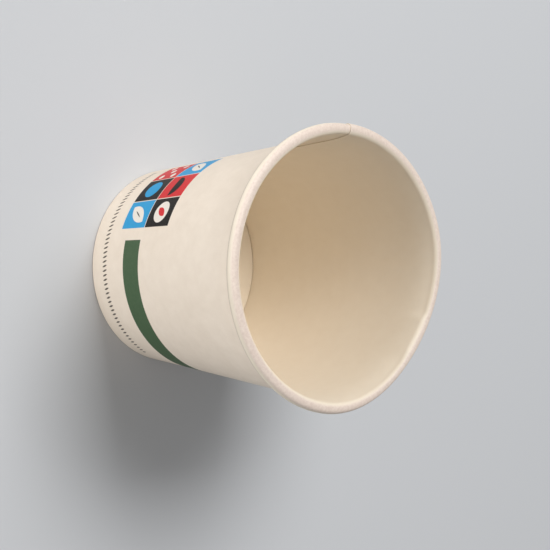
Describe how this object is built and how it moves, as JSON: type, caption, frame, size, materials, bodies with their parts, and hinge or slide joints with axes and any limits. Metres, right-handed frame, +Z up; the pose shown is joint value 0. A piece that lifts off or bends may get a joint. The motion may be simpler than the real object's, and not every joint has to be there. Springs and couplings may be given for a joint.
{
  "type": "paper espresso cup",
  "caption": "Small tapered paper cup with a rolled rim, a lapped side seam and a recessed bottom disc, slightly dented at the mouth; holds a short hot drink.",
  "frame": {"origin": "centre of the foot, on the surface that the cup stands on", "axes": "+Z up along the cup's axis towards the mouth; the side seam is on the -X side and the printed front faces -Y"},
  "size_m": [0.0624, 0.0622, 0.06],
  "materials": {
    "cup_board": "uncoated off-white paperboard, printed outside, thin film lining inside",
    "disc_board": "cream paperboard with a thin film lining"
  },
  "bodies": {
    "root": {"side_wall": "cup_board", "bottom_disc": "disc_board"}
  },
  "joints": []
}
